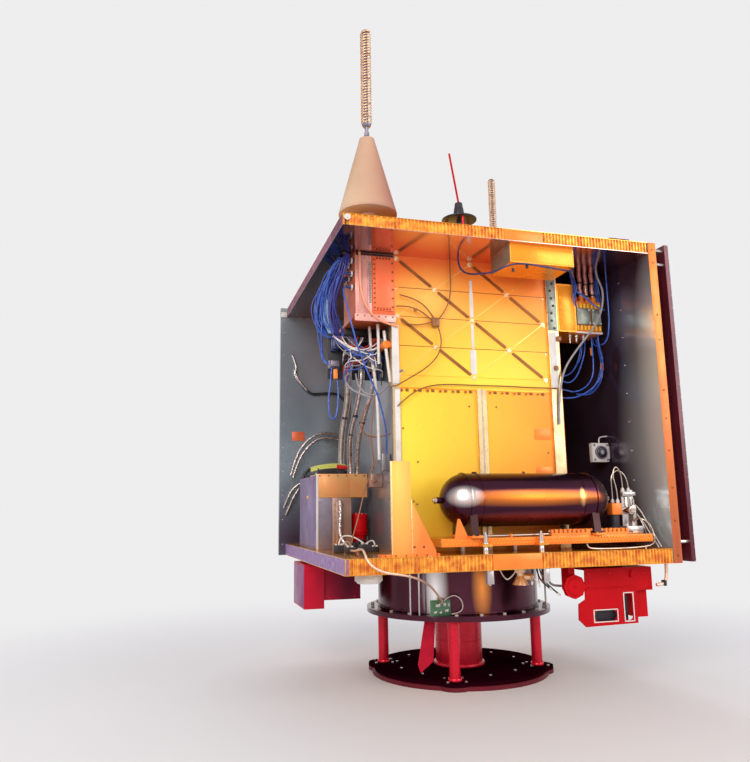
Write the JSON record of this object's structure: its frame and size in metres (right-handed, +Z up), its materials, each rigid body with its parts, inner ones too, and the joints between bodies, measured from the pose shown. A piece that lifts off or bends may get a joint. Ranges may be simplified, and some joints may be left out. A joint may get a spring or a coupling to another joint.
{
  "type": "small satellite on integration stand",
  "caption": "Cube-shaped small satellite with front and left side panels off, module tower and pressure tank in view, on a red-posted integration stand",
  "frame": {"origin": "under the middle of the stand, where it meets the bench", "axes": "+X to the right along the open front, +Y to the back panel, +Z up"},
  "size_m": [1.071, 1.0324, 1.956],
  "materials": {
    "maroon_rim": "satin paint on the turned rim",
    "black_plate": "black anodised",
    "red_anodised": "red anodised, satin",
    "ring_metal": "turned and polished",
    "honeycomb": "honeycomb core with thin face sheets, warm gold tone",
    "wall_sheet": "polished face sheet, clouded",
    "solar_cells": "dark cell cover glass on a thin panel",
    "gold_box": "gold chromate finish, satin",
    "rib_metal": "milled ribs, gold chromate",
    "silver": "bare milled aluminium",
    "orange_box": "orange chromate finish",
    "grey_box": "grey anodised",
    "tank_metal": "polished, dark bronze tone",
    "cream_cone": "cream radome, matt",
    "gold_wire": "gold plated",
    "black_part": "black",
    "red_cover": "bright red paint",
    "white_part": "white",
    "face_sheet": "polished face sheet of a honeycomb panel",
    "blue_coax": "blue coaxial jacket",
    "grey_lead": "grey jacket",
    "black_lead": "black jacket",
    "foil_wrap": "crinkled foil tape",
    "brown_lead": "brown jacket",
    "steel_tube": "drawn steel tube",
    "red_fabric": "red woven streamer",
    "green_board": "circuit board"
  },
  "bodies": {
    "root": {"stand_disc": "maroon_rim", "stand_plate": "black_plate", "stand_posts": "red_anodised", "stand_column": "red_anodised", "separation_ring": "ring_metal", "bottom_panel": "face_sheet", "top_panel": "face_sheet", "back_panel": "wall_sheet", "right_panel": "wall_sheet", "solar_panel": "solar_cells", "solar_standoffs": "silver", "tower_lower": "gold_box", "tower_trays": "gold_box", "tower_ribs": "rib_metal", "tower_rails": "silver", "radio_module": "orange_box", "radio_lid": "orange_box", "left_shelf": "orange_box", "ceiling_box": "gold_box", "right_module": "gold_box", "connector_block": "grey_box", "propulsion_tray": "honeycomb", "tray_standoffs": "silver", "pressure_tank": "tank_metal", "tank_saddles": "silver", "pipe_comb": "orange_box", "valve_bracket": "white_part", "gusset_bracket": "orange_box", "corner_unit": "grey_box", "wheel_housing": "red_cover", "terminal_column": "orange_box", "sensor_frame": "silver", "antenna_cones": "cream_cone", "helix_antennas": "gold_wire", "disc_antenna": "black_part", "whip_rod": "red_cover", "red_tag": "red_fabric", "ring_rods": "silver", "bottom_core": "honeycomb", "top_core": "honeycomb", "harness_panel": "black_part", "coax_plugs": "gold_wire", "left_coax": "blue_coax", "foil_trunks": "foil_wrap", "side_plate": "silver", "deck_plugs": "black_part", "upper_harness": "foil_wrap", "right_coax": "blue_coax", "right_lead": "grey_lead", "face_cables": "brown_lead", "tank_pipes": "steel_tube", "nozzle_cap": "red_cover", "corner_leads": "foil_wrap", "test_lead": "black_lead", "lead_board": "green_board", "top_plate": "black_part", "right_cover": "red_cover", "left_cover": "red_cover", "deck_sensor": "white_part", "thruster": "silver"}
  },
  "joints": []
}
